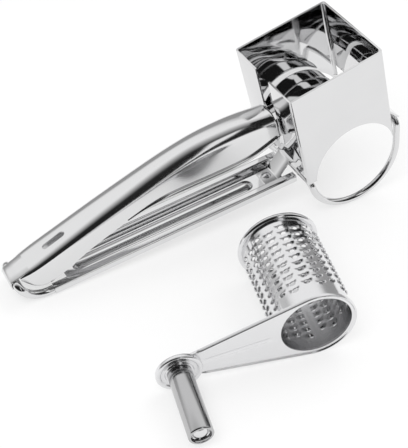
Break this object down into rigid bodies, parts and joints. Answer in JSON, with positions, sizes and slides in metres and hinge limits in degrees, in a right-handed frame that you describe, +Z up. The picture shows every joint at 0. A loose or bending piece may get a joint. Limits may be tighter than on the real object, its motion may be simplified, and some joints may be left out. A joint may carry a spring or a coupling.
{
  "type": "rotary cabbage shredder",
  "caption": "Hand cranked steel food shredder: square hopper with a hinged press handle, and a toothed drum with crank and knob lying beside it.",
  "frame": {"origin": "centre of the outline on the floor", "axes": "+X from the tail of the handle towards the hopper, +Y away from the drum that lies in front, +Z up"},
  "size_m": [0.2234, 0.163, 0.098],
  "materials": {
    "sheet_steel": "mirror polished",
    "rod_steel": "polished",
    "rivet_steel": "polished",
    "drum_steel": "polished, punched",
    "crank_steel": "satin polished",
    "knob_steel": "brushed"
  },
  "bodies": {
    "housing": {"hopper": "sheet_steel", "hoop_front": "rod_steel", "hoop_rear": "rod_steel", "lower_handle": "sheet_steel", "tail_bar": "rod_steel", "handle_bracket": "sheet_steel", "bracket_rivet": "rivet_steel"},
    "press": {"press_handle": "sheet_steel", "presser_arm": "sheet_steel", "presser_bracket": "sheet_steel", "presser_plate": "sheet_steel", "presser_rivets": "rivet_steel"},
    "drum": {"drum_barrel": "drum_steel", "drum_seam_strip": "drum_steel", "drum_rim": "drum_steel", "drum_collar": "drum_steel", "crank_plate": "crank_steel", "knob_boss": "crank_steel", "knob_spindle": "crank_steel"},
    "knob": {"knob_sleeve": "knob_steel"}
  },
  "joints": [
    {"name": "press_hinge", "type": "hinge", "parent": "housing", "child": "press", "pos_m": [-0.10849, 0.05404, 0.01119], "axis": [0, -1, 0], "range_deg": [0, 100]},
    {"name": "drum_spin", "type": "hinge", "parent": "housing", "child": "drum", "pos_m": [0.00451, -0.05646, 0.02041], "axis": [0.2079, 0.978, 0.0192], "continuous": true},
    {"name": "knob_spin", "type": "hinge", "parent": "drum", "child": "knob", "pos_m": [-0.06239, -0.04207, 0.01157], "axis": [-0.2079, -0.978, -0.0192], "continuous": true}
  ]
}
